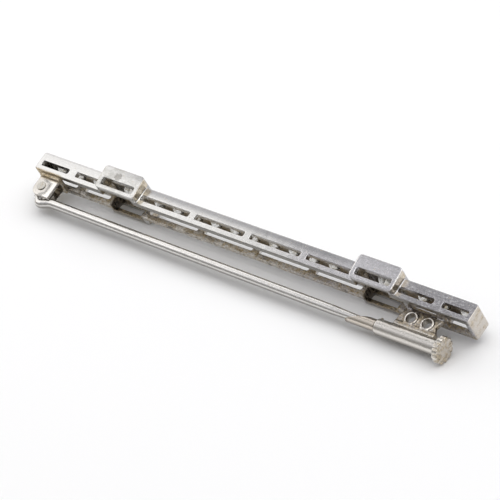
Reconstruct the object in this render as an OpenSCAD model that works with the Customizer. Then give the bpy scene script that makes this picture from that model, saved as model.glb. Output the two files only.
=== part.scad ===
// Bar brooch in white metal, set with round brilliants, with a hinged pin and a trombone clasp.
// The brooch is drawn in its own frame: X along the bar, Y from the far gallery wall to the
// near one, Z from the front face towards the back that carries the pin. It is then laid on
// its side, where it rests on its two boxes and on the clasp's knob.

/* [Bar] */
// Length of the bar
bar_len = 70; // [66:0.5:90]
// Width of the bar across its two gallery walls
bar_w = 3.8; // [3.6:0.1:4.6]
// Depth of the bar from its front face to its open back
bar_h = 2.65; // [2.4:0.05:3.4]
// Thickness of each gallery wall
wall_t = 0.75; // [0.6:0.05:0.95]
// Thickness of the front plate that holds the stones
plate_t = 0.6; // [0.5:0.05:0.8]
// Thickness of the wall that closes each end of the bar
cap_t = 0.65; // [0.4:0.05:1]
// Corner radius of the bar, seen from the side
bar_corner_r = 0.4; // [0.1:0.05:0.6]

/* [Gallery slots] */
// Height of the slots in the bar's walls
slot_h = 0.75; // [0.5:0.05:0.9]
// Depth of the slots' front edge behind the front face
slot_z = 1.17; // [1:0.01:1.4]
// Corner radius of every slot
slot_corner_r = 0.2; // [0.05:0.05:0.24]
// Width of the three posts between the boxes
post_w = 1.0; // [0.6:0.1:1.6]
// Width of the two posts outside the boxes
end_post_w = 1.3; // [0.6:0.1:1.8]
// Distance of the inner posts from the middle post
inner_post_x = 9.0; // [7:0.1:10]
// Distance of the outer posts from the middle post
outer_post_x = 29.5; // [28.5:0.1:30.5]
// Place of the middle post along the bar
post_shift = 0.4; // [0:0.1:0.6]
// Metal left between a slot and the box beside it
slot_box_gap = 0.15; // [0.1:0.05:0.5]

/* [Boxes] */
// Length of each raised box along the bar
box_len = 6.6; // [6.2:0.1:8]
// Distance of each box's middle from the middle of the bar
box_x = 20.65; // [19.5:0.05:22]
// Width of a box at its front
box_front_w = 6.5; // [6.2:0.1:7.5]
// Width of a box at its back
box_back_w = 5.7; // [5.2:0.1:6.1]
// Height of a box's front above the bar's front
box_rise = 0.6; // [0.3:0.05:1]
// Thickness of a box's side and end walls
box_wall = 0.75; // [0.5:0.05:0.9]
// Thickness of a box's front plate
box_plate_t = 0.7; // [0.5:0.05:0.9]
// Corner radius of a box, seen from the side
box_corner_r = 0.5; // [0.2:0.05:0.8]
// Length of the slot in each side of a box
box_slot_len = 5.3; // [4:0.1:5.5]
// Height of the slot in each side of a box
box_slot_h = 0.95; // [0.6:0.05:1]
// Depth of a box slot's front edge behind the bar's front face
box_slot_z = 1.12; // [1:0.02:1.3]

/* [Stones] */
// Number of stones between the two boxes
mid_stones = 11; // [9:1:11]
// Number of stones between a box and its end of the bar
end_stones = 3; // [1:1:3]
// Diameter of the small stones
stone_d = 2.7; // [2:0.05:2.8]
// Diameter of the stone in each box
box_stone_d = 4.4; // [3.5:0.1:4.6]
// Play between a stone and its seat
stone_gap = 0.04; // [0.02:0.01:0.08]
// Depth of a stone's girdle below the metal round it
girdle_sink = 0.05; // [0.02:0.01:0.1]
// Radius of the metal grains that hold the stones
grain_r = 0.36; // [0.25:0.01:0.4]
// Distance of the grains from the bar's middle line
grain_y = 1.05; // [0.95:0.05:1.2]
// Distance of a box's grains from its middle, along and across
box_grain_at = 1.92; // [1.9:0.02:2.2]
// Share of each grain's radius that lies below the metal
grain_sink = 0.3; // [0.1:0.05:0.6]

/* [Hinge] */
// Place of the hinge's rivet along the bar, from the left end
hinge_inset = 2.15; // [1.9:0.05:3]
// Distance of the rivet behind the bar's back
hinge_rise = 1.7; // [1.65:0.05:2.2]
// Radius of the ears' round corner behind the rivet
ear_r = 1.15; // [1:0.05:1.2]
// Distance from the rivet to the ears' straight edge
ear_len = 1.98; // [1.6:0.02:2.1]
// Distance of the ears' foot behind the rivet
ear_drop = 1.35; // [1.15:0.05:1.4]
// Thickness of each ear
ear_t = 0.45; // [0.4:0.05:0.7]
// Thickness of the base plate under the ears
hinge_base_t = 0.4; // [0.3:0.05:0.5]
// Length of the base plate along the bar
hinge_base_len = 3.3; // [2.6:0.1:3.6]
// Width of the base plate across the bar
hinge_base_w = 2.9; // [2.5:0.1:3.4]
// Radius of the rivet's shank
rivet_r = 0.4; // [0.3:0.05:0.5]
// Radius of the rivet's heads
rivet_head_r = 0.6; // [0.5:0.05:0.8]
// Height of the rivet's heads
rivet_head_t = 0.12; // [0.08:0.02:0.3]
// Play round the rivet in the ears
rivet_gap = 0.02; // [0.01:0.01:0.04]
// Play round the rivet in the pin's eye
eye_gap = 0.05; // [0.03:0.01:0.08]
// Play between the pin's eye and each ear
eye_side_gap = 0.08; // [0.05:0.01:0.15]

/* [Pin] */
// Diameter of the pin
pin_d = 1.2; // [1:0.05:1.3]
// Thickness of the flat eye at the pin's root
eye_t = 1.1; // [1.05:0.05:1.2]
// Outer radius of the pin's eye
eye_r = 0.95; // [0.85:0.05:1]
// Distance from the rivet to the start of the pin's first bend
neck_len = 1.2; // [1.2:0.05:1.5]
// Radius of the pin's first bend
root_bend_r = 0.68; // [0.66:0.02:1]
// Angle by which the first bend turns back towards the bar
root_back_deg = 20; // [12:1:24]
// Length of the straight between the two bends
root_straight = 0.8; // [0.4:0.1:1]
// Radius of the pin's second bend
second_bend_r = 3.0; // [1.5:0.1:4]
// Length of the pin's slight taper before its point
taper_len = 4.6; // [4.2:0.1:6]
// Radius of the pin at the end of that taper
taper_r = 0.45; // [0.35:0.01:0.5]
// Length of the pin's point
point_len = 1.9; // [1:0.1:2.5]
// Radius of the pin's blunted end
tip_r = 0.1; // [0.05:0.01:0.15]

/* [Clasp] */
// Distance of the clasp's axis behind the bar's back
clasp_rise = 3.5; // [3.4:0.05:3.7]
// Place of the clasp tube's open end along the bar, from the right end
tube_inset = 11.8; // [11:0.1:12.5]
// Length of the fixed outer tube
tube_len = 9.1; // [8.5:0.1:9.4]
// Outer diameter of the fixed tube
tube_d = 2.0; // [1.9:0.05:2.2]
// Outer diameter of the sliding sleeve
sleeve_d = 1.54; // [1.5:0.02:1.6]
// Wall of the sliding sleeve
sleeve_wall = 0.19; // [0.12:0.01:0.2]
// Play between the sleeve and the tube
sleeve_gap = 0.04; // [0.02:0.01:0.08]
// Length of the sleeve that stands out of the tube when it is shut
mouth_len = 4.5; // [4.2:0.1:5]
// Length of the slanted cut at the sleeve's mouth
mouth_cut_len = 3.4; // [2.5:0.1:4]
// Height of the lip that the slanted cut leaves
mouth_lip = 0.14; // [0.08:0.01:0.2]
// Travel of the sleeve when it is drawn open
sleeve_travel = 4.6; // [4:0.1:5]
// Distance from the pin's point to the tube's open end
tip_gap = 0.3; // [0.2:0.05:0.6]
// Diameter of the knob at the sleeve's end
knob_d = 3.36; // [3:0.02:3.6]
// Thickness of the knob
knob_t = 0.8; // [0.4:0.05:1.2]
// Bevel of the knob's edge
knob_bevel = 0.1; // [0.05:0.01:0.15]
// Number of flutes round the knob
knob_flutes = 12; // [8:4:20]
// Depth of the flutes
flute_depth = 0.18; // [0.05:0.01:0.2]
// Depth of the grooves that run from the flutes across the knob's face
groove_depth = 0.08; // [0.03:0.01:0.12]
// Radius of the stop bead at the tube's open end
bead_r = 0.22; // [0.15:0.01:0.25]

/* [Bracket] */
// Thickness of the pierced plate between the bar and the tube
bracket_t = 0.6; // [0.4:0.05:0.8]
// Radius of the two round holes
bracket_hole_r = 0.63; // [0.4:0.01:0.7]
// Distance between the two holes
bracket_hole_pitch = 2.4; // [2.2:0.1:2.6]
// Place of the first hole, from the tube's open end
bracket_hole_x = 3.6; // [3.2:0.1:4]
// Distance of the holes behind the bar's back
bracket_hole_rise = 1.2; // [1.1:0.05:1.3]
// Wall of the two rings round the holes
ring_wall = 0.3; // [0.2:0.02:0.36]
// Width of those rings across the bar
ring_w = 1.0; // [0.7:0.05:1.2]
// Width of the strip on top of the tube
strip_w = 0.9; // [0.7:0.05:1]
// Thickness of the strip above the tube
strip_t = 0.5; // [0.3:0.05:0.6]
// Length of the strip along the tube
strip_len = 6.0; // [5.6:0.1:6.6]
// Width of the two cross bars that carry the plate
cross_bar_w = 0.9; // [0.6:0.1:1.2]
// Thickness of the two cross bars
cross_bar_t = 0.6; // [0.4:0.05:0.7]

/* [Hidden] */
$fn = 48;
// What a cut runs past the faces that it goes through
over = 1;
// What soldered pieces run into each other
bite = 0.2;
// What a bend of the pin runs into the straight pieces beside it, and how much slimmer it is
lap = 0.05;
bend_slim = 0.004;

// Bar
half_len = bar_len / 2;
half_w = bar_w / 2;
inner_half_w = half_w - wall_t;

// Slots: the places where metal stays, from left to right, and the slots between them
box_in = box_x - box_len / 2;
box_out = box_x + box_len / 2;
slot_end = half_len - cap_t;
function post(x, w) = [x + post_shift - w / 2, x + post_shift + w / 2];
function beside_box(x0, x1) = [x0 - slot_box_gap, x1 + slot_box_gap];
solid_places = [
    [-half_len, -slot_end],
    post(-outer_post_x, end_post_w),
    beside_box(-box_out, -box_in),
    post(-inner_post_x, post_w),
    post(0, post_w),
    post(inner_post_x, post_w),
    beside_box(box_in, box_out),
    post(outer_post_x, end_post_w),
    [slot_end, half_len],
];
slot_ends = [for (i = [1 : len(solid_places) - 1]) [solid_places[i - 1][1], solid_places[i][0]]];

// Stones: equal places along each stretch of the bar
mid_pitch = 2 * box_in / mid_stones;
end_mid = (box_out + half_len) / 2;
mid_stone_xs = [for (i = [0 : mid_stones - 1]) (i - (mid_stones - 1) / 2) * mid_pitch];
end_stone_xs = [for (i = [0 : end_stones - 1]) end_mid + (i - (end_stones - 1) / 2) * mid_pitch];
stone_xs = concat(
    [for (i = [end_stones - 1 : -1 : 0]) -end_stone_xs[i]],
    mid_stone_xs,
    end_stone_xs
);
grain_xs = concat(
    [for (i = [1 : mid_stones - 1]) (i - mid_stones / 2) * mid_pitch],
    [for (s = [-1, 1]) for (x = end_stone_xs) s * (x + mid_pitch / 2)],
    [for (s = [-1, 1]) s * (end_stone_xs[0] - mid_pitch / 2)]
);

// Round brilliant: heights and radii as shares of the diameter
table_share = 0.28;
crown_share = 0.15;
girdle_share = 0.04;
pavilion_share = 0.43;
star_share = 0.41;
lower_share = 0.12;

// Hinge
hinge_x = hinge_inset - half_len;
hinge_z = bar_h + hinge_rise;
hinge_half_w = eye_t / 2 + eye_side_gap + ear_t;

// Pin: the bends turn in the XZ plane, and the stem then aims at the clasp's axis
pin_r = pin_d / 2;
clasp_z = bar_h + clasp_rise;
tube_x = half_len - tube_inset;
tip_x = tube_x - tip_gap;
bend_c = [hinge_x + root_bend_r, hinge_z + neck_len];
bend_end = bend_c + root_bend_r * [sin(root_back_deg), cos(root_back_deg)];
second_start = bend_end + root_straight * [cos(root_back_deg), -sin(root_back_deg)];
second_c = second_start - second_bend_r * [-sin(root_back_deg), -cos(root_back_deg)];
stem_aim = [tip_x, clasp_z] - second_c;
stem_deg = atan2(stem_aim[1], stem_aim[0]) + asin(second_bend_r / norm(stem_aim));
stem_start = second_c + second_bend_r * [sin(stem_deg), -cos(stem_deg)];
stem_len = norm([tip_x, clasp_z] - stem_start);
second_turn = root_back_deg + stem_deg;

// Clasp
tube_r = tube_d / 2;
sleeve_r = sleeve_d / 2;
sleeve_bore_r = sleeve_r - sleeve_wall;
tube_bore_r = sleeve_r + sleeve_gap;
mouth_x = tube_x - mouth_len;
knob_x = tube_x + tube_len + sleeve_gap;
knob_r = knob_d / 2;
mouth_cut_deg = atan((sleeve_d - mouth_lip) / mouth_cut_len);
flute_r = flute_depth * 1.6;
groove_r = groove_depth * 2.2;

// Bracket
hole_xs = [for (i = [0, 1]) tube_x + bracket_hole_x + i * bracket_hole_pitch];
hole_z = bar_h + bracket_hole_rise;
strip_x = (hole_xs[0] + hole_xs[1]) / 2 - strip_len / 2;
strip_z = clasp_z - tube_r - strip_t;
cross_xs = [hole_xs[0] - 2 * bracket_hole_r, hole_xs[1] + 2 * bracket_hole_r];

// Rest on a surface: the far boxes' back edges and the knob touch it
box_foot = box_back_w / 2;
rest_deg = acos(knob_r / norm([box_foot, clasp_rise])) - atan2(clasp_rise, box_foot);
rest_z = box_foot * cos(rest_deg) + bar_h * sin(rest_deg);
reach_back = clasp_z * cos(rest_deg) + knob_r;
reach_front = box_front_w / 2 * sin(rest_deg) + box_rise * cos(rest_deg);
rest_y = (reach_back - reach_front) / 2;

STONE_NODES = [for (i = [1 : len(stone_xs)]) str("stone_", i)];
BOX_STONE_NODES = ["box_stone_left", "box_stone_right"];

// Lays the brooch on its far side
module lay_down() {
    translate([0, rest_y, rest_z]) rotate([90 + rest_deg, 0, 0]) children();
}

// Rectangle from one corner to the other, with round corners
module round_rect(from, to, r) {
    size = to - from;
    translate(from + [r, 0]) square([size[0] - 2 * r, size[1]]);
    translate(from + [0, r]) square([size[0], size[1] - 2 * r]);
    for (x = [from[0] + r, to[0] - r])
        for (y = [from[1] + r, to[1] - r])
            translate([x, y]) circle(r = r);
}

// Extrudes an outline of the XZ plane across the bar, between two Y values
module across(y0, y1) {
    translate([0, y1, 0]) rotate([90, 0, 0]) linear_extrude(y1 - y0) children();
}

// Extrudes an outline across the bar, to a width, at a place of the XZ plane
module across_at(x, z, width) {
    translate([x, 0, z]) across(-width / 2, width / 2) children();
}

// Solid block of the bar
module bar_block() {
    across(-half_w, half_w)
        round_rect([-half_len, 0], [half_len, bar_h], bar_corner_r);
}

// Half width of a box at a depth behind the bar's front
function box_half_w(z) =
    let (share = (z + box_rise) / (bar_h + box_rise))
    (box_front_w + (box_back_w - box_front_w) * share) / 2;

// Tapered block between two depths, narrower than the box by a wall
module box_taper(z0, z1, wall, len) {
    y0 = box_half_w(z0) - wall;
    y1 = box_half_w(z1) - wall;
    translate([-len / 2, 0, 0]) rotate([90, 0, 90]) linear_extrude(len)
        polygon([[-y0, z0], [y0, z0], [y1, z1], [-y1, z1]]);
}

// Solid block of one box
module box_block() {
    intersection() {
        box_taper(-box_rise, bar_h, 0, box_len);
        across(-box_front_w, box_front_w)
            round_rect([-box_len / 2, -box_rise], [box_len / 2, bar_h], box_corner_r);
    }
}

// Hollow of one box, open at the back, with its two side slots
module box_hollow() {
    box_taper(box_plate_t - box_rise, bar_h + over, box_wall, box_len - 2 * box_wall);
    across(-box_front_w, box_front_w)
        round_rect([-box_slot_len / 2, box_slot_z],
            [box_slot_len / 2, box_slot_z + box_slot_h], slot_corner_r);
}

// Long channel of the bar, open at the back
module channel() {
    translate([cap_t - half_len, -inner_half_w, plate_t])
        cube([bar_len - 2 * cap_t, 2 * inner_half_w, bar_h]);
}

// Slots through both walls of the bar
module gallery_slots() {
    across(-half_w - over / 2, half_w + over / 2)
        for (ends = slot_ends)
            round_rect([ends[0], slot_z], [ends[1], slot_z + slot_h], slot_corner_r);
}

// Seat of a stone of diameter d, its girdle sunk below z = 0
module seat(d, depth) {
    r = d / 2 + stone_gap;
    slope = pavilion_share / 0.5;
    girdle = girdle_sink + girdle_share * d;
    translate([0, 0, -over]) cylinder(r = r, h = over + girdle);
    translate([0, 0, girdle]) cylinder(r1 = r, r2 = r - depth / slope, h = depth);
}

// Grains of metal along the bar and at the boxes' corners
module grains() {
    for (x = grain_xs)
        for (y = [-grain_y, grain_y])
            translate([x, y, grain_r * grain_sink]) sphere(r = grain_r);
    for (x = [-box_x, box_x])
        for (dx = [-box_grain_at, box_grain_at])
            for (y = [-box_grain_at, box_grain_at])
                translate([x + dx, y, grain_r * grain_sink - box_rise]) sphere(r = grain_r);
}

// Pierced bar with its two boxes
module pierced_bar() {
    difference() {
        union() {
            bar_block();
            for (x = [-box_x, box_x]) translate([x, 0, 0]) box_block();
            grains();
        }
        channel();
        gallery_slots();
        for (x = [-box_x, box_x]) translate([x, 0, 0]) box_hollow();
        for (x = stone_xs) translate([x, 0, 0]) seat(stone_d, plate_t);
        for (x = [-box_x, box_x])
            translate([x, 0, -box_rise]) seat(box_stone_d, box_plate_t);
    }
}

// Outline of an ear: straight at the pin's side, round behind the rivet
module ear_outline() {
    base_z = bar_h + hinge_base_t;
    round_z = hinge_z + ear_drop - ear_r;
    translate([hinge_x, round_z]) circle(r = ear_r);
    translate([hinge_x - ear_r, base_z - bite]) square([ear_r + ear_len, round_z - base_z + bite]);
    translate([hinge_x, round_z - bite]) square([ear_len, ear_r + bite]);
}

// Base plate and two ears of the hinge
module hinge_ears() {
    difference() {
        union() {
            translate([hinge_x - ear_r, -hinge_base_w / 2, bar_h - bite])
                cube([hinge_base_len, hinge_base_w, hinge_base_t + bite]);
            for (y = [-hinge_half_w, hinge_half_w - ear_t])
                across(y, y + ear_t) ear_outline();
        }
        translate([hinge_x, hinge_half_w + over, hinge_z]) rotate([90, 0, 0])
            cylinder(r = rivet_r + rivet_gap, h = 2 * (hinge_half_w + over));
    }
}

// Pierced plate that carries the clasp, with its two cross bars
module bracket() {
    top = bar_h - cross_bar_t;
    left = strip_x;
    right = strip_x + strip_len;
    for (x = cross_xs)
        translate([x - cross_bar_w / 2, -inner_half_w - bite, top])
            cube([cross_bar_w, 2 * (inner_half_w + bite), cross_bar_t]);
    difference() {
        union() {
            across(-bracket_t / 2, bracket_t / 2)
                polygon([
                    [left, strip_z + bite], [left, hole_z], [cross_xs[0], top + bite],
                    [cross_xs[1] + cross_bar_w / 2, top + bite],
                    [cross_xs[1] + cross_bar_w / 2, bar_h + bite],
                    [hole_xs[1] + 2 * bracket_hole_r, hole_z], [right, strip_z + bite],
                ]);
            for (x = hole_xs)
                across_at(x, hole_z, ring_w) circle(r = bracket_hole_r + ring_wall);
        }
        for (x = hole_xs) across_at(x, hole_z, ring_w + 2 * over) circle(r = bracket_hole_r);
    }
    translate([left, -strip_w / 2, strip_z]) cube([strip_len, strip_w, strip_t + tube_r - tube_bore_r]);
}

// Fixed outer tube, with the stop bead on its open end
module clasp_tube() {
    difference() {
        union() {
            translate([tube_x, 0, clasp_z]) rotate([0, 90, 0]) cylinder(r = tube_r, h = tube_len);
            bracket();
        }
        translate([tube_x - over, 0, clasp_z]) rotate([0, 90, 0])
            cylinder(r = tube_bore_r, h = tube_len + 2 * over);
    }
    translate([tube_x - bead_r / 4, 0, clasp_z - tube_bore_r - bead_r]) sphere(r = bead_r);
}

// All the soldered metal
module frame() {
    color("#c9c7c4") lay_down() {
        pierced_bar();
        hinge_ears();
        clasp_tube();
    }
}

// Rivet through the ears and the pin's eye
module rivet() {
    color("#b8b4ae") lay_down() translate([hinge_x, 0, hinge_z]) rotate([90, 0, 0]) {
        translate([0, 0, -hinge_half_w - rivet_gap])
            cylinder(r = rivet_r, h = 2 * (hinge_half_w + rivet_gap));
        for (z = [hinge_half_w + rivet_gap, -hinge_half_w - rivet_gap - rivet_head_t])
            translate([0, 0, z]) cylinder(r = rivet_head_r, h = rivet_head_t);
    }
}

// Straight piece of the pin from a point of the XZ plane, in a direction given by its angle,
// turned from a profile of [distance along the piece, radius] rows
module pin_run(from, deg, profile) {
    first = profile[0];
    last = profile[len(profile) - 1];
    translate([from[0], 0, from[1]]) rotate([0, 90 - deg, 0]) rotate_extrude()
        polygon(concat([[0, first[0]]], [for (row = profile) [row[1], row[0]]], [[0, last[0]]]));
}

// Round bend about a centre in the XZ plane, from an angle of its plane through a turn
module pin_bend(c, r, deg, turn) {
    lap_deg = lap / r * 180 / PI;
    translate([c[0], 0, c[1]]) rotate([90, 0, 0]) rotate([0, 0, deg - lap_deg])
        rotate_extrude(angle = turn + 2 * lap_deg) translate([r, 0]) circle(r = pin_r - bend_slim);
}

// Pin with its flat eye, its two bends, its straight stem and its tapered point
module pin_stem() {
    color("#d8d6d3") lay_down() difference() {
        union() {
            across(-eye_t / 2, eye_t / 2) {
                translate([hinge_x, hinge_z]) circle(r = eye_r);
                translate([hinge_x - pin_r, hinge_z]) square([pin_d, neck_len + bite]);
            }
            pin_bend(bend_c, root_bend_r, 90 - root_back_deg, 90 + root_back_deg);
            pin_run(bend_end, -root_back_deg, [[0, pin_r], [root_straight, pin_r]]);
            pin_bend(second_c, second_bend_r, -90 - root_back_deg, second_turn);
            pin_run(stem_start, stem_deg, [
                [0, pin_r],
                [stem_len - point_len - taper_len, pin_r],
                [stem_len - point_len, taper_r],
                [stem_len, tip_r],
            ]);
        }
        translate([hinge_x, eye_t, hinge_z]) rotate([90, 0, 0])
            cylinder(r = rivet_r + eye_gap, h = 2 * eye_t);
    }
}

// Fluted knob, with a crest turned to the surface that it rests on
module knob() {
    difference() {
        rotate_extrude() polygon([
            [0, 0], [knob_r - knob_bevel, 0], [knob_r, knob_bevel], [knob_r, knob_t - knob_bevel],
            [knob_r - knob_bevel, knob_t], [0, knob_t],
        ]);
        for (i = [0 : knob_flutes - 1]) rotate([0, 0, (i + 0.5) * 360 / knob_flutes - rest_deg]) {
            translate([knob_r + flute_r - flute_depth, 0, -over])
                cylinder(r = flute_r, h = knob_t + 2 * over);
            translate([knob_r / 2, 0, knob_t + groove_r - groove_depth]) rotate([0, 90, 0])
                cylinder(r = groove_r, h = knob_r);
        }
    }
}

// Sliding sleeve with its slanted mouth and its knob
module clasp_sleeve() {
    color("#cbc5bc") lay_down() translate([0, 0, clasp_z]) {
        difference() {
            translate([mouth_x, 0, 0]) rotate([0, 90, 0])
                cylinder(r = sleeve_r, h = knob_x - mouth_x + bite);
            translate([mouth_x - over, 0, 0]) rotate([0, 90, 0])
                cylinder(r = sleeve_bore_r, h = mouth_len + tube_len / 2 + over);
            translate([mouth_x, 0, sleeve_r - mouth_lip]) rotate([0, mouth_cut_deg, 0])
                translate([-sleeve_d, -sleeve_d, -2 * sleeve_d])
                    cube([mouth_cut_len + 2 * sleeve_d, 2 * sleeve_d, 2 * sleeve_d]);
        }
        translate([knob_x, 0, 0]) rotate([0, 90, 0]) knob();
    }
}

// Points of a ring of n corners at height z, the first one turned by a given angle
function ring(n, r, z, turn) = [for (i = [0 : n - 1])
    let (a = turn + i * 360 / n) [r * cos(a), r * sin(a), z]];

// Round brilliant with its girdle's top at z = 0 and its table at negative z
module brilliant(d) {
    r = d / 2;
    rt = table_share * d;
    rs = star_share * d;
    rl = lower_share * d;
    h = crown_share * d;
    p = pavilion_share * d;
    g = girdle_share * d;
    half = 22.5;
    zs = h * (r - rs * cos(half)) / (r - rt);
    zl = p * (1 - rl * cos(half) / r);
    // Rings in order: table, stars, girdle top, girdle bottom, lower halves, then the culet
    points = concat(ring(8, rt, -h, 0), ring(8, rs, -zs, half), ring(16, r, 0, 0),
        ring(16, r, g, 0), ring(8, rl, g + zl, half), [[0, 0, g + p]]);
    t = 0;
    s = 8;
    gt = 16;
    gb = 32;
    lo = 48;
    culet = 56;
    eighths = [0 : 7];
    faces = concat(
        [[for (i = eighths) t + i]],
        [for (i = eighths) [t + i, s + i, t + (i + 1) % 8]],
        [for (i = eighths) [t + i, s + (i + 7) % 8, gt + 2 * i, s + i]],
        [for (i = eighths) [s + i, gt + 2 * i, gt + 2 * i + 1]],
        [for (i = eighths) [s + i, gt + 2 * i + 1, gt + (2 * i + 2) % 16]],
        [for (i = [0 : 15]) [gt + i, gb + i, gb + (i + 1) % 16, gt + (i + 1) % 16]],
        [for (i = eighths) [gb + 2 * i, lo + i, gb + 2 * i + 1]],
        [for (i = eighths) [gb + 2 * i + 1, lo + i, gb + (2 * i + 2) % 16]],
        [for (i = eighths) [gb + 2 * i, lo + (i + 7) % 8, culet, lo + i]]
    );
    polyhedron(points = points, faces = faces);
}

// Small stone in its seat
module stone(x) {
    color("#eef4fb") lay_down() translate([x, 0, girdle_sink]) brilliant(stone_d);
}

// Larger stone in a box's front
module box_stone(x) {
    color("#eef4fb") lay_down() translate([x, 0, girdle_sink - box_rise]) brilliant(box_stone_d);
}

frame();
rivet();
pin_stem();
clasp_sleeve();
for (i = [0 : len(stone_xs) - 1])
    stone(stone_xs[i]);
for (i = [0, 1])
    box_stone([-box_x, box_x][i]);
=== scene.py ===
"""Looks of the bar brooch: worn white metal, cut stones, a pale floor and soft studio light."""
import math

import bmesh
import bpy
from mathutils import Matrix, Vector


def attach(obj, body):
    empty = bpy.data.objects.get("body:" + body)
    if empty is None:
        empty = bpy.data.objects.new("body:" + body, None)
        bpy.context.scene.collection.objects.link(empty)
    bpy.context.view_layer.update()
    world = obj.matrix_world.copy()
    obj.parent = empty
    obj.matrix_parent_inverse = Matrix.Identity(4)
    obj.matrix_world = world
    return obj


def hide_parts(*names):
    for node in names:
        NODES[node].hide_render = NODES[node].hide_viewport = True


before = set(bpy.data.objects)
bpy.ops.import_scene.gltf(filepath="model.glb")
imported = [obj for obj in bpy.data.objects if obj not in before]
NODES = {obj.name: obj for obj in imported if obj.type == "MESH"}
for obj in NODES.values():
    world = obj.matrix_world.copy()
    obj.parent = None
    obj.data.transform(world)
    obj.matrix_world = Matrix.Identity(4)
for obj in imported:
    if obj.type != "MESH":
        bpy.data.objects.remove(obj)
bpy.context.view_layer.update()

MM = 0.001
STONES = sorted(name for name in NODES if "stone" in name)

# How the brooch lies: its own frame has X along the bar, Y towards the near gallery wall and
# Z from the front face towards the pin. It is tilted about X onto its far side.
REST_DEG = 17.3035
REST_Y = 3.00608
REST_Z = 3.50921
TO_ROW = (Matrix.Scale(MM, 4) @ Matrix.Translation((0, REST_Y, REST_Z))
          @ Matrix.Rotation(math.radians(90 + REST_DEG), 4, "X"))

# Places in that frame, in mm, as in the part's source. The bar from its middle and front face
BAR_END = 35.0
BAR_SIDE = 1.9
BAR_BACK = 2.65
# Each box: its middle along the bar, and its end and side from there
BOX_X = 20.65
BOX_END = 3.3
BOX_SIDE = 3.25
# The hinge's ears: their straight edge, inner and outer face and foot
EAR_END = -30.87
EAR_IN, EAR_OUT = 0.63, 1.08
EAR_FOOT = 3.05
# The clasp: the tube's open end and front edge, its axis, the sleeve's mouth, and the knob
TUBE_X = 23.2
TUBE_Z = 5.15
CLASP_Z = 6.15
MOUTH_LEN = 4.5
KNOB_X = 32.34
KNOB_FACE = 33.14
KNOB_FLUTES = 12
# The bracket's two holes: their middle, their distance and the outer radius of their rings
HOLES_X, HOLES_Z = 28.0, 3.85
HOLES_APART = 2.4
RING_R = 0.93
# The middle of a grey spot on the left box, as in the photograph
BLEMISH_X, BLEMISH_Z = -21.2, 0.52

# How far the ears' upright outer edges are worn away, and over what length, in mm
EAR_WEAR = 0.3
EAR_WEAR_LEN = 0.38

# Camera, as the photograph was taken: lens for a 36 mm sensor, target and distance in mm
SENSOR = 36.0
LENS = 233.5
CAM_TARGET = (0.807, 0.495, 3.0)
CAM_DISTANCE = 396.5
CAM_AZIMUTH = 48.30
CAM_ELEVATION = 37.01
CAM_ROLL = 14.28

# Light: the tent's tones from its foot to its top, and its fill, whose edges are cosines
TENT = (
    (0.0, (0.30, 0.29, 0.28)),
    (0.35, (0.34, 0.335, 0.33)),
    (0.75, (0.35, 0.35, 0.365)),
    (1.0, (0.40, 0.40, 0.41)),
)
FILL_AZIMUTH, FILL_ELEVATION = -56, 48
FILL_EDGES = (0.90, 0.985)
FILL_STRENGTH = (1.0, 1.9)
WARM_WHITE = (1.0, 0.985, 0.965)
FLOOR_TONE = 0.955
# Half of the floor's width, in metres
FLOOR_HALF = 3.0

# Metal from the hinge's end to the clasp's end, painted darker towards the clasp: partly a satin
# finish, partly painted shade
PALE = (0.735, 0.73, 0.715)
SATIN_AND_SHADE = (0.58, 0.57, 0.585)
DULL_AND_SHADE = (0.38, 0.37, 0.385)
# Metal of single places, and painted shade and painted highlights on some of them
CAP_METAL = (0.64, 0.60, 0.555)
EAR_METAL = (0.645, 0.62, 0.58)
BOX_END_METAL = (0.83, 0.75, 0.61)
# a painted highlight on the right box's end edges
BOX_EDGE_HIGHLIGHT = (0.86, 0.86, 0.87)
# painted shade on the near wall's back rim
NEAR_RIM_SHADE = (0.24, 0.23, 0.21)
PLATE_METAL = (0.27, 0.235, 0.19)
# lighter rims of the bracket's holes: partly wear, partly a painted highlight
RING_WEAR_AND_HIGHLIGHT = (0.80, 0.76, 0.70)
TUBE_METAL = (0.73, 0.70, 0.655)
RIVET_METAL = (0.52, 0.51, 0.48)
PIN_ROOT_METAL = (0.74, 0.725, 0.70)
PIN_METAL = (0.76, 0.745, 0.72)
SLEEVE_METAL = (0.80, 0.77, 0.72)
KNOB_FACE_METAL = (0.615, 0.565, 0.50)
MOUTH_METAL = (0.70, 0.64, 0.56)
# painted shade on the sides of the tube, the sleeve and the pin that hang down
UNDERSIDE_SHADE = (0.22, 0.2, 0.18)
PIN_UNDERSIDE_SHADE = (0.2, 0.19, 0.175)
# Wear and dirt, with painted shade along the front edge and in the clasp's mouth
TARNISH_DARK = (0.085, 0.06, 0.035)
TARNISH_LIGHT = (0.72, 0.59, 0.39)
HAZE = (0.3, 0.29, 0.28)
SCUFF = (0.86, 0.86, 0.88)
# painted shade along the front edge
FRONT_EDGE_SHADE = (0.33, 0.33, 0.34)
SMEAR = (0.42, 0.415, 0.39)
OLD_POLISH = (0.16, 0.14, 0.11)
DARK_POLISH = (0.10, 0.082, 0.06)
# painted shade in the clasp's mouth: inside it, at its lip and where it enters the tube
MOUTH_SHADE = (0.13, 0.10, 0.07)
BLEMISH = (0.27, 0.26, 0.24)
# Stones
CLEAR = (0.98, 0.99, 1.0)
STONE_FILM = (0.13, 0.108, 0.068)
STONE_IOR = 2.2


def direction(azimuth, elevation):
    """Unit vector towards a place round the object; azimuth 0 is at -Y and 90 at +X."""
    a, e = math.radians(azimuth), math.radians(elevation)
    return Vector((math.sin(a) * math.cos(e), -math.cos(a) * math.cos(e), math.sin(e)))


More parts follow.
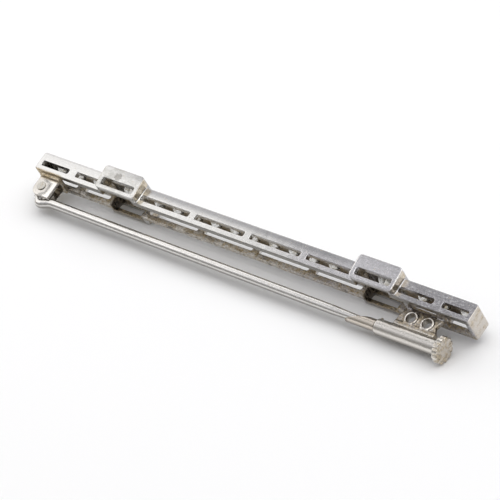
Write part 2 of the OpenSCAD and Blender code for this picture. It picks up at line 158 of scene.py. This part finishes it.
def make_camera():
    data = bpy.data.cameras.new("camera")
    data.lens = LENS
    data.sensor_width = SENSOR
    data.clip_start, data.clip_end = 0.01, 20.0
    camera = bpy.data.objects.new("camera", data)
    bpy.context.scene.collection.objects.link(camera)
    back = direction(CAM_AZIMUTH, CAM_ELEVATION)
    camera.location = (Vector(CAM_TARGET) + back * CAM_DISTANCE) * MM
    upright = (-back).to_track_quat("-Z", "Y").to_matrix()
    roll = Matrix.Rotation(math.radians(-CAM_ROLL), 3, "Z")
    camera.rotation_euler = (upright @ roll).to_euler()
    bpy.context.scene.camera = camera


def make_floor():
    size = FLOOR_HALF
    mesh = bpy.data.meshes.new("floor")
    corners = [(-size, -size, 0), (size, -size, 0), (size, size, 0), (-size, size, 0)]
    mesh.from_pydata(corners, [], [(0, 1, 2, 3)])
    floor = bpy.data.objects.new("floor", mesh)
    bpy.context.scene.collection.objects.link(floor)
    material = bpy.data.materials.new("floor_paper")
    material.use_nodes = True
    shader = material.node_tree.nodes["Principled BSDF"]
    shader.inputs["Base Color"].default_value = (FLOOR_TONE, FLOOR_TONE, FLOOR_TONE, 1)
    shader.inputs["Roughness"].default_value = 0.7
    shader.inputs["Specular IOR Level"].default_value = 0.2
    mesh.materials.append(material)


def soft_box(name, azimuth, elevation, distance, size, brightness, colour=(1, 1, 1), aim=(0, 0, 3)):
    """A soft box at a place round the object, in mm, turned to a point of it.
    Its brightness is what a perfect mirror would show of it, where 1 is white."""
    data = bpy.data.lights.new(name, "AREA")
    data.shape = "RECTANGLE"
    data.size, data.size_y = size[0] * MM, size[1] * MM
    data.energy = brightness * math.pi * data.size * data.size_y
    data.color = colour
    light = bpy.data.objects.new(name, data)
    bpy.context.scene.collection.objects.link(light)
    back = direction(azimuth, elevation)
    light.location = (Vector(aim) + back * distance) * MM
    light.rotation_euler = (-back).to_track_quat("-Z", "Y").to_euler()


def make_tent():
    """A pale tent, darker near its foot, with a weak fill at the left of the camera."""
    world = bpy.data.worlds.new("studio")
    bpy.context.scene.world = world
    world.use_nodes = True
    tree = world.node_tree
    tree.nodes.clear()
    coords = tree.nodes.new("ShaderNodeTexCoord")
    split = tree.nodes.new("ShaderNodeSeparateXYZ")
    ramp = tree.nodes.new("ShaderNodeValToRGB")
    background = tree.nodes.new("ShaderNodeBackground")
    out = tree.nodes.new("ShaderNodeOutputWorld")
    stops = ramp.color_ramp.elements
    for i, (place, colour) in enumerate(TENT):
        stop = stops[i] if i < 2 else stops.new(place)
        stop.position = place
        stop.color = (*colour, 1)
    facing = tree.nodes.new("ShaderNodeVectorMath")
    facing.operation = "DOT_PRODUCT"
    facing.inputs[1].default_value = direction(FILL_AZIMUTH, FILL_ELEVATION)
    fill = tree.nodes.new("ShaderNodeMapRange")
    fill.interpolation_type = "SMOOTHSTEP"
    for socket, value in zip(fill.inputs[1:5], FILL_EDGES + FILL_STRENGTH):
        socket.default_value = value
    tree.links.new(coords.outputs["Generated"], split.inputs[0])
    tree.links.new(split.outputs["Z"], ramp.inputs["Fac"])
    tree.links.new(coords.outputs["Generated"], facing.inputs[0])
    tree.links.new(facing.outputs["Value"], fill.inputs["Value"])
    tree.links.new(ramp.outputs["Color"], background.inputs["Color"])
    tree.links.new(fill.outputs[0], background.inputs["Strength"])
    tree.links.new(background.outputs[0], out.inputs["Surface"])


def make_light():
    """The tent, a warm box at the left and a large one above. The large one stands far towards
    the clasp's end, so that it lights the floor and doesn't show in the bar from the camera."""
    make_tent()
    soft_box("key_box", -100, 33.5, 330, (440, 250), 0.95, WARM_WHITE)
    soft_box("top_box", 180, 73, 500, (760, 900), 1.36, aim=(160, 0, 3))


class Nodes:
    """Short calls for building a material's node tree. coords, x, y and z are a point's place
    in the brooch's own frame, in mm. A share is a value from 0 to 1."""

    def __init__(self, name):
        self.material = bpy.data.materials.new(name)
        self.material.use_nodes = True
        self.tree = self.material.node_tree
        self.shader = self.tree.nodes["Principled BSDF"]
        self.coords = self.bar_coords()
        split = self.node("ShaderNodeSeparateXYZ")
        self.put(split.inputs[0], self.coords)
        self.x, self.y, self.z = split.outputs

    def node(self, kind, **values):
        made = self.tree.nodes.new(kind)
        for key, value in values.items():
            setattr(made, key, value)
        return made

    def put(self, socket, value):
        if isinstance(value, bpy.types.NodeSocket):
            self.tree.links.new(value, socket)
        else:
            socket.default_value = value

    def math(self, operation, a, b=0.0, c=0.0, clamp=False):
        made = self.node("ShaderNodeMath", operation=operation, use_clamp=clamp)
        for socket, value in zip(made.inputs, (a, b, c)):
            self.put(socket, value)
        return made.outputs[0]

    def all_of(self, first, *others):
        """The product of shares."""
        for other in others:
            first = self.math("MULTIPLY", first, other)
        return first

    def any_of(self, first, *others):
        """The largest of shares."""
        for other in others:
            first = self.math("MAXIMUM", first, other)
        return first

    def less(self, a, b):
        return self.math("SUBTRACT", a, b)

    def size(self, value):
        return self.math("ABSOLUTE", value)

    def distance(self, a, b):
        """Length of the way that goes a one way and b square to it."""
        return self.math("SQRT", self.math("ADD", self.all_of(a, a), self.all_of(b, b)))

    def ramp(self, value, low, high, to_low=0.0, to_high=1.0):
        """value from low to high, smoothly mapped to to_low to to_high."""
        made = self.node("ShaderNodeMapRange", interpolation_type="SMOOTHSTEP")
        for socket, item in zip(made.inputs, (value, low, high, to_low, to_high)):
            self.put(socket, item)
        return made.outputs[0]

    def past(self, value, place, start, end, to_low=0.0, to_high=1.0):
        """A soft edge near a place: to_low at place + start and to_high at place + end."""
        return self.ramp(value, place + start, place + end, to_low, to_high)

    def noise(self, scale, detail=3.0, roughness=0.6, stretch=(1, 1, 1), distortion=0.0):
        """Noise of about 1 / scale mm, stretched along the brooch's axes."""
        mapping = self.node("ShaderNodeMapping")
        self.put(mapping.inputs["Vector"], self.coords)
        mapping.inputs["Scale"].default_value = [scale / s for s in stretch]
        made = self.node("ShaderNodeTexNoise")
        self.put(made.inputs["Vector"], mapping.outputs[0])
        made.inputs["Scale"].default_value = 1.0
        made.inputs["Detail"].default_value = detail
        made.inputs["Roughness"].default_value = roughness
        made.inputs["Distortion"].default_value = distortion
        return made.outputs[0]

    def mix(self, share, a, b):
        made = self.node("ShaderNodeMix", data_type="RGBA")
        self.put(made.inputs["Factor"], share)
        for socket, value in ((made.inputs[6], a), (made.inputs[7], b)):
            self.put(socket, (*value, 1.0) if isinstance(value, tuple) else value)
        return made.outputs[2]

    def layers(self, colour, pairs):
        """A colour with others over it, given as pairs of a share and a colour."""
        for share, other in pairs:
            colour = self.mix(share, colour, other)
        return colour

    def bump(self, height, strength, depth, below=None):
        """A normal bumped by a height from 0 to 1, with its full depth in mm."""
        made = self.node("ShaderNodeBump")
        made.inputs["Distance"].default_value = depth * MM
        self.put(made.inputs["Height"], height)
        self.put(made.inputs["Strength"], strength)
        if below is not None:
            self.put(made.inputs["Normal"], below)
        return made.outputs[0]

    def turned_back(self, vector):
        """A direction of the row, in the brooch's own frame."""
        turn = self.node("ShaderNodeVectorRotate", rotation_type="X_AXIS")
        self.put(turn.inputs["Vector"], vector)
        turn.inputs["Angle"].default_value = -math.radians(90 + REST_DEG)
        return turn.outputs[0]

    def bar_coords(self):
        """A point's place in mm in the brooch's own frame."""
        coords = self.node("ShaderNodeTexCoord")
        shift = self.node("ShaderNodeMapping", vector_type="POINT")
        self.put(shift.inputs["Vector"], coords.outputs["Object"])
        shift.inputs["Scale"].default_value = (1 / MM, 1 / MM, 1 / MM)
        shift.inputs["Location"].default_value = (0, -REST_Y, -REST_Z)
        return self.turned_back(shift.outputs[0])

    def hanging(self):
        """1 where the surface faces away from the light, down and to the back, and -1 opposite."""
        coords = self.node("ShaderNodeTexCoord")
        share = self.node("ShaderNodeVectorMath", operation="DOT_PRODUCT")
        self.put(share.inputs[0], self.turned_back(coords.outputs["Normal"]))
        share.inputs[1].default_value = (0, -0.41, 0.91)
        return share.outputs["Value"]

    def ears(self):
        """The hinge's two ears."""
        return self.all_of(self.ramp(self.x, -30.0, -31.0), self.past(self.z, EAR_FOOT, 0.0, 0.15))


def metal(name, look, roughness=0.17, crease_mm=0.6, grain=0.75):
    """Worn white metal. look(n) gives its clean colour and the share of tarnish at a place of
    the brooch, crease_mm is how far dirt reaches out of corners, and grain is the depth of the
    surface's fine marks towards the clasp."""
    n = Nodes(name)
    patches = n.noise(1.1, 4)
    fine = n.noise(7.0)
    scratches = n.noise(8.0, 2, 0.7, stretch=(5, 1, 1), distortion=0.4)
    specks = n.ramp(n.noise(4.0, 2, 0.5), 0.70, 0.74, 0.0, 0.7)
    crease = n.node("ShaderNodeAmbientOcclusion", samples=8)
    crease.inputs["Distance"].default_value = crease_mm * MM
    most_dirt = n.math("MULTIPLY_ADD", n.ears(), -0.6, 0.8)
    dirt = n.all_of(n.ramp(crease.outputs["AO"], 0.62, 0.2), most_dirt)
    clean, cover = look(n)
    mottle = n.ramp(patches, 0.32, 0.62, 0.6, 1.0)
    share = n.math("MULTIPLY", n.any_of(cover, dirt), mottle, clamp=True)
    share = n.any_of(share, specks)
    clean = n.mix(n.ramp(fine, 0.3, 0.7, 0.12, 0.0), clean, HAZE)
    tarnish = n.mix(n.ramp(fine, 0.3, 0.68), TARNISH_DARK, TARNISH_LIGHT)
    n.put(n.shader.inputs["Base Color"], n.mix(share, clean, tarnish))
    rough = n.math("MULTIPLY_ADD", n.ramp(scratches, 0.35, 0.75), 0.1, roughness)
    n.put(n.shader.inputs["Roughness"], n.math("MULTIPLY_ADD", share, 0.25, rough, clamp=True))
    n.shader.inputs["Metallic"].default_value = 1.0
    waves = n.bump(n.noise(0.45, 2, 0.5), 1.0, 0.03)
    marks = n.math("ADD", scratches, n.all_of(fine, 0.7))
    strength = n.any_of(n.ramp(n.x, 2.0, 14.0, 0.25, grain), n.all_of(share, 0.9))
    n.put(n.shader.inputs["Normal"], n.bump(marks, strength, 0.02, waves))
    return n.material


def stone_material():
    """Clear stone, with a film of old polish and dust on its back facets."""
    n = Nodes("cut_stone")
    film = n.all_of(n.ramp(n.noise(1.6), 0.35, 0.65, 0.6, 1.0), n.ramp(n.z, 0.05, 0.25))
    n.put(n.shader.inputs["Base Color"], n.mix(film, CLEAR, STONE_FILM))
    n.put(n.shader.inputs["Roughness"], n.all_of(film, 0.12))
    n.shader.inputs["Transmission Weight"].default_value = 1.0
    n.shader.inputs["IOR"].default_value = STONE_IOR
    return n.material


class FramePlaces:
    """Where a point lies on the soldered frame, as shares, and a few distances in mm."""

    def __init__(self, n):
        along, across = n.size(n.x), n.size(n.y)
        off_box = n.size(n.less(along, BOX_X))
        self.in_box = n.past(off_box, BOX_END, -0.35, -0.7)
        in_wide = n.all_of(self.in_box, n.past(across, BOX_SIDE, -0.5, -0.95))
        self.hollow = n.any_of(n.past(across, BAR_SIDE, -0.15, -0.6), in_wide)
        self.channel = n.all_of(
            self.hollow,
            n.ramp(n.z, 0.2, 0.5),
            n.past(n.z, BAR_BACK, 0.07, -0.15),
            n.past(along, BAR_END, -0.2, -0.6),
        )
        self.behind_front = n.ramp(n.z, 0.3, 0.6)
        self.cap = n.past(n.x, BAR_END, -0.2, -0.05)
        self.hinge_base = n.all_of(
            n.ramp(n.x, -29.8, -31.0),
            n.past(n.z, BAR_BACK, -0.3, -0.05),
            n.past(n.z, BAR_BACK, 0.75, 0.35),
        )
        beyond_bar = n.past(across, BAR_SIDE, 0.03, 0.13)
        self.box_end = n.all_of(n.past(off_box, BOX_END, -0.15, 0.0), beyond_bar, 0.75)
        near_corner = n.past(across, BOX_SIDE, -0.45, -0.3)
        self.box_edge = n.all_of(n.past(off_box, BOX_END, -0.28, -0.12), near_corner)
        beyond_wall = n.past(across, BOX_SIDE, -0.95, -0.65)
        self.box_side = n.all_of(beyond_wall, n.past(n.z, BAR_BACK, 0.35, 0.15))
        rim = n.all_of(
            n.past(n.z, BAR_BACK, -0.15, -0.03),
            n.past(across, BAR_SIDE, -0.9, -0.75),
            n.past(across, BAR_SIDE, 0.1, 0.02),
        )
        self.near_rim = n.all_of(rim, n.ramp(n.y, 0.0, 0.5), n.past(n.z, BAR_BACK, 0.1, 0.03))
        self.far_rim = n.all_of(rim, n.ramp(n.y, 0.0, -0.5), n.past(n.z, BAR_BACK, 0.07, 0.03))
        self.bracket = n.all_of(
            n.past(n.x, TUBE_X, -3.2, -1.2),
            n.past(n.z, BAR_BACK, 0.05, 0.25),
            n.past(n.z, TUBE_Z, 0.25, -0.25),
        )
        self.tube = n.past(n.z, TUBE_Z, -0.25, 0.05)
        # distance from the nearer of the bracket's two holes, and behind the bar's or a box's front
        beside_hole = n.less(n.size(n.less(n.x, HOLES_X)), HOLES_APART / 2)
        self.from_hole = n.distance(beside_hole, n.less(n.z, HOLES_Z))
        self.depth = n.math("ADD", n.z, n.past(off_box, BOX_END, 0.02, -0.02, 0.0, 0.6))


def front_edge_shade(n, at):
    """Painted shade along the front edge, weak at the hinge's and the clasp's end."""
    film = n.all_of(
        n.ramp(at.depth, 1.25, 0.3, 0.0, 0.85),
        n.ramp(n.x, -24.5, -16.0, 0.15, 1.0),
        n.ramp(n.x, 19.0, 13.0, 0.2, 1.0),
    )
    film = n.any_of(film, n.ramp(at.depth, 0.45, 0.1, 0.0, 0.4))
    return n.all_of(film, n.ramp(at.depth, 0.0, 0.12))


def dark_corners(n, at):
    """Old polish along the far wall, inside the hinge's end and at the left end of each box."""
    lumps = n.all_of(at.far_rim, n.ramp(n.noise(0.55), 0.55, 0.62))
    hinge_end = n.all_of(at.hollow, n.ramp(n.x, -28.5, -30.5))
    from_box = n.less(n.x, n.all_of(n.math("SIGN", n.x), BOX_X))
    pit = n.all_of(at.in_box, n.ramp(from_box, -1.7, -2.2), n.ramp(n.y, -0.3, -0.9))
    inside = n.all_of(n.any_of(hinge_end, pit), at.behind_front, n.past(n.z, BAR_BACK, 0.01, -0.15))
    return n.all_of(n.any_of(lumps, inside), 0.8)


def blemish(n):
    """A grey spot on the near face of the left box."""
    aside = n.all_of(n.less(n.x, BLEMISH_X), 0.837)
    away = n.math("ADD", n.distance(aside, n.less(n.z, BLEMISH_Z)), n.noise(3.0))
    return n.all_of(n.ramp(away, 1.12, 0.95), n.past(n.y, BOX_SIDE, -0.65, -0.45), 0.75)


def frame_look(n):
    """Brown inside the channel and the boxes and round the hinge, where the hinge's base is partly
    painted shade, painted shade along the front edge, metal painted darker over the clasp's half
    (partly satin, partly painted shade), and warmer metal on the clasp's tube with painted shade on
    its underside. Painted shade on the near rim, a painted highlight on the right box's end edges,
    and lighter rims on the bracket's holes, partly wear and partly a painted highlight."""
    at = FramePlaces(n)
    spots = n.noise(1.3)
    mould = n.ramp(n.noise(3.2, 3, 0.7), 0.42, 0.6, 0.3, 0.9)
    bright = n.ramp(n.noise(2.1), 0.42, 0.58, 0.4, 1.0)
    scuffs = n.ramp(n.noise(5.5, 3, 0.7, stretch=(1.7, 1, 1)), 0.5, 0.66, 0.0, 0.5)
    smear = n.ramp(n.noise(0.9, stretch=(1.6, 1, 1)), 0.35, 0.65, 0.2, 0.8)
    # the bracket's plate is dark, and the rims of its two holes are painted lighter, partly wear
    # and partly a painted highlight
    off_rim = n.past(at.from_hole, RING_R, -0.07, 0.07)
    plate = n.all_of(at.bracket, n.any_of(off_rim, n.ramp(spots, 0.4, 0.6, 0.05, 0.8)))
    beside_plate = n.math("SUBTRACT", at.bracket, plate, clamp=True)
    rings = n.all_of(beside_plate, n.past(at.from_hole, RING_R, 0.07, -0.01))
    dark = dark_corners(n, at)
    colour = n.layers(PALE, (
        # painted darker towards the clasp's end: partly a satin finish, partly painted shade
        (n.ramp(n.x, 2.0, 12.0), SATIN_AND_SHADE),
        (n.ramp(n.x, 22.0, 27.0), DULL_AND_SHADE),
        (n.all_of(scuffs, n.ramp(n.x, 6.0, 20.0)), SCUFF),
        # painted shade along the front edge
        (front_edge_shade(n, at), FRONT_EDGE_SHADE),
        (at.cap, CAP_METAL),
        (n.ears(), EAR_METAL),
        (at.box_end, BOX_END_METAL),
        (n.all_of(at.box_side, n.ramp(n.x, -17.0, -18.0), smear), SMEAR),
        # painted shade on the near wall's back rim
        (n.all_of(at.near_rim, 0.85), NEAR_RIM_SHADE),
        (n.all_of(plate, n.ramp(spots, 0.4, 0.6, 0.3, 1.0)), PLATE_METAL),
        # lighter rims of the bracket's holes: partly wear, partly a painted highlight
        (n.all_of(rings, n.ramp(spots, 0.62, 0.42, 0.35, 1.0)), RING_WEAR_AND_HIGHLIGHT),
        (n.all_of(at.in_box, at.hollow, at.behind_front, 0.8), OLD_POLISH),
        (dark, DARK_POLISH),
        # a painted highlight on the right box's end edges
        (n.all_of(at.box_edge, n.ramp(n.x, 0.0, 5.0, 0.0, 0.7)), BOX_EDGE_HIGHLIGHT),
        (blemish(n), BLEMISH),
        (at.tube, TUBE_METAL),
        # painted shade on the side of the tube that hangs down
        (n.all_of(n.ramp(n.hanging(), 0.6, 0.95, 0.0, 0.85), at.tube), UNDERSIDE_SHADE),
    ))
    cover = n.any_of(
        n.all_of(at.channel, bright),
        # the hinge's base: tarnish that is partly painted shade under the near wall
        at.hinge_base,
        n.all_of(at.box_end, mould),
        n.all_of(at.far_rim, mould),
        n.all_of(plate, mould, 0.75),
        n.all_of(at.cap, n.ramp(spots, 0.45, 0.7, 0.08, 0.7)),
    )
    return colour, n.all_of(cover, n.less(1.0, dark))


def rivet_look(n):
    """Greyer metal, dull round the head's edge."""
    return RIVET_METAL, n.ramp(n.noise(3.0), 0.45, 0.65, 0.05, 0.5)


def pin_look(n):
    """Polished wire, with painted shade on the side that hangs down."""
    colour = n.layers(PIN_ROOT_METAL, (
        (n.ramp(n.x, -30.0, -20.0), PIN_METAL),
        # painted shade on the side of the pin that hangs down
        (n.ramp(n.hanging(), 0.45, 0.85, 0.0, 0.85), PIN_UNDERSIDE_SHADE),
    ))
    return colour, 0.0


def sleeve_look(n):
    """Warm metal, with old polish in the knob's flutes and grooves and in patches of its face.
    The mouth is duller than the tube, with painted shade inside it, at its lip and where it enters
    the tube, and the sleeve has painted shade on its underside."""
    height = n.less(n.z, CLASP_Z)
    radius = n.distance(n.y, height)
    turn = n.math("ADD", n.math("ARCTAN2", n.y, height), math.radians(REST_DEG))
    flutes = n.all_of(
        n.ramp(n.math("COSINE", n.all_of(turn, KNOB_FLUTES)), 0.1, -0.8),
        n.ramp(radius, 0.45, 1.2, 0.1, 0.75),
        n.ramp(n.noise(1.4, 2, 0.5), 0.4, 0.6, 0.35, 1.0),
    )
    spots = n.ramp(n.noise(1.7), 0.46, 0.62, 0.0, 0.75)
    knob = n.all_of(n.any_of(flutes, spots), n.past(n.x, KNOB_X, 0.01, 0.26))
    mouth = n.past(n.x, TUBE_X, 0.3, 0.0)
    # painted shade inside the mouth, at its lip and where it enters the tube
    dirt = n.any_of(
        n.ramp(radius, 0.66, 0.60),
        n.past(n.x, TUBE_X, -0.3, -0.12, 0.0, 0.75),
        n.past(n.x, TUBE_X - MOUTH_LEN, 0.6, 0.1, 0.0, 0.7),
    )
    # painted shade on the side of the sleeve that hangs down, short of the knob
    low = n.all_of(n.ramp(n.hanging(), 0.5, 0.9, 0.0, 0.8), n.past(n.x, KNOB_X, -0.04, -0.34))
    colour = n.layers(SLEEVE_METAL, (
        (n.past(n.x, KNOB_FACE, -0.14, -0.02), KNOB_FACE_METAL),
        (mouth, MOUTH_METAL),
        (n.all_of(dirt, mouth), MOUTH_SHADE),
        (low, UNDERSIDE_SHADE),
    ))
    return colour, knob


def wear_ears(mesh):
    """Rounds the upright outer edges of the hinge's ears, in the brooch's own frame."""
    margin = 0.1
    worn_from = EAR_END - EAR_WEAR_LEN
    for vertex in mesh.vertices:
        x, y, z = vertex.co
        on_ear = z > EAR_FOOT + margin / 2 and EAR_IN < abs(y) < EAR_OUT + margin
        if on_ear and worn_from < x < EAR_END + margin:
            worn = EAR_WEAR * min(1.0, (x - worn_from) / EAR_WEAR_LEN) ** 2
            depth = (abs(y) - EAR_IN) * (EAR_OUT - worn - EAR_IN) / (EAR_OUT - EAR_IN)
            vertex.co.y = math.copysign(EAR_IN + depth, y)


def soft_copy(node, voxel, passes, most_faces):
    """A copy of a CAD node with soft worn edges: remeshed in the brooch's own frame, in mm, and
    smoothed, so that its flat faces stay flat, and thinned out to at most most_faces triangles."""
    mesh = NODES[node].data.copy()
    mesh.transform(TO_ROW.inverted())
    piece = bpy.data.objects.new(node + "_metal", mesh)
    bpy.context.scene.collection.objects.link(piece)
    joined = bmesh.new()
    joined.from_mesh(mesh)
    bmesh.ops.remove_doubles(joined, verts=joined.verts, dist=0.0002)
    joined.to_mesh(mesh)
    joined.free()
    remesh = piece.modifiers.new("remesh", "REMESH")
    remesh.mode = "VOXEL"
    remesh.voxel_size = voxel
    smooth = piece.modifiers.new("smooth", "SMOOTH")
    smooth.iterations = passes
    made = piece.evaluated_get(bpy.context.evaluated_depsgraph_get()).data
    triangles = sum(len(face.vertices) - 2 for face in made.polygons)
    if triangles > most_faces:
        thin = piece.modifiers.new("thin", "DECIMATE")
        thin.ratio = most_faces / triangles
    made = piece.evaluated_get(bpy.context.evaluated_depsgraph_get())
    final = bpy.data.meshes.new_from_object(made)
    piece.modifiers.clear()
    piece.data = final
    if node == "frame":
        wear_ears(final)
    final.transform(TO_ROW)
    final.polygons.foreach_set("use_smooth", [True] * len(final.polygons))
    return piece


def dress(piece, material):
    piece.data.materials.clear()
    piece.data.materials.append(material)


def make_metal():
    """The soldered frame, the pin, the sleeve and the rivet, each with soft edges."""
    bar = metal("worn_white_gold", frame_look)
    pin = metal("pin_wire", pin_look, 0.19, grain=0.3)
    clasp = metal("clasp_metal", sleeve_look, 0.17, 0.35, grain=0.3)
    head = metal("rivet_metal", rivet_look)
    for node, material, slot, body, voxel, passes, most_faces in (
        ("frame", bar, "bar_metal", "brooch", 0.065, 5, 190000),
        ("pin_stem", pin, "pin_metal", "pin", 0.06, 3, 60000),
        ("clasp_sleeve", clasp, "clasp_metal", "sleeve", 0.05, 2, 80000),
        ("rivet", head, "bar_metal", "brooch", 0.03, 2, 20000),
    ):
        piece = soft_copy(node, voxel, passes, most_faces)
        dress(piece, material)
        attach(piece, body)
        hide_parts(node)


def make_stones():
    material = stone_material()
    for node in STONES:
        dress(NODES[node], material)


make_camera()
make_floor()
make_light()
make_metal()
make_stones()
bpy.context.scene.view_settings.view_transform = "Standard"
